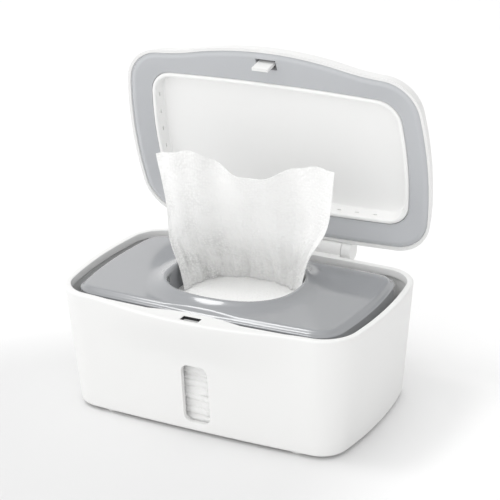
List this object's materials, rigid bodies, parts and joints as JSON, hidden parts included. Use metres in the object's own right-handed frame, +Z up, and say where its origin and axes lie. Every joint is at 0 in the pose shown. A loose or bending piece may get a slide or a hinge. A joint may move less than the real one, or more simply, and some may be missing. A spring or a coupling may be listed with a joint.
{
  "type": "wipes dispenser",
  "caption": "Low rounded tub for baby wipes with a wide hinged lid, a press button latch, a viewing window and a weighted plate with a round hole that holds the wipes down.",
  "frame": {"origin": "on the floor, under the middle of the outline of the whole with its lid open", "axes": "+X along the tub to the right as seen from its front, +Y to the back where the hinge is, +Z up"},
  "size_m": [0.2192, 0.154, 0.2249],
  "materials": {
    "white_plastic": "satin",
    "liner_plastic": "matt",
    "grey_plastic": "glossy",
    "grey_rubber": "satin",
    "clear_plastic": "clear",
    "foot_rubber": "matt",
    "steel": "satin",
    "wipe_cloth": "moist nonwoven"
  },
  "bodies": {
    "tub": {"base_tub": "white_plastic", "viewing_window": "clear_plastic", "latch_keeper": "white_plastic", "front_left_foot": "foot_rubber", "rear_left_foot": "foot_rubber", "front_right_foot": "foot_rubber", "rear_right_foot": "foot_rubber", "hinge_barrel": "white_plastic", "lid_spring": "steel", "hinge_screws": "steel", "wipe_stack": "wipe_cloth"},
    "lid": {"lid_shell": "white_plastic", "lid_gasket": "grey_rubber", "lid_liner": "liner_plastic", "hinge_pin": "steel", "button_pin": "steel", "button_spring": "steel"},
    "button": {"lid_button": "white_plastic"},
    "plate": {"plate_cover": "grey_plastic", "plate_tray": "grey_plastic", "left_weight": "steel", "right_weight": "steel", "plate_screws": "steel", "top_wipe": "wipe_cloth"}
  },
  "joints": [
    {"name": "lid_hinge", "type": "hinge", "parent": "tub", "child": "lid", "pos_m": [0, 0.0631, 0.085], "axis": [1, 0, 0], "range_deg": [0, 80], "stiffness_Nm_per_rad": 0.06, "springref_deg": -68.75, "deforming": ["top_wipe"]},
    {"name": "button_press", "type": "hinge", "parent": "lid", "child": "button", "pos_m": [0, 0.05104, 0.21214], "axis": [-1, 0, 0], "range_deg": [0, 5], "stiffness_Nm_per_rad": 0.05, "springref_deg": -14.32},
    {"name": "plate_slide", "type": "slide", "parent": "tub", "child": "plate", "axis": [0, 0, -1], "range_m": [0, 0.042], "deforming": ["wipe_stack"]}
  ]
}
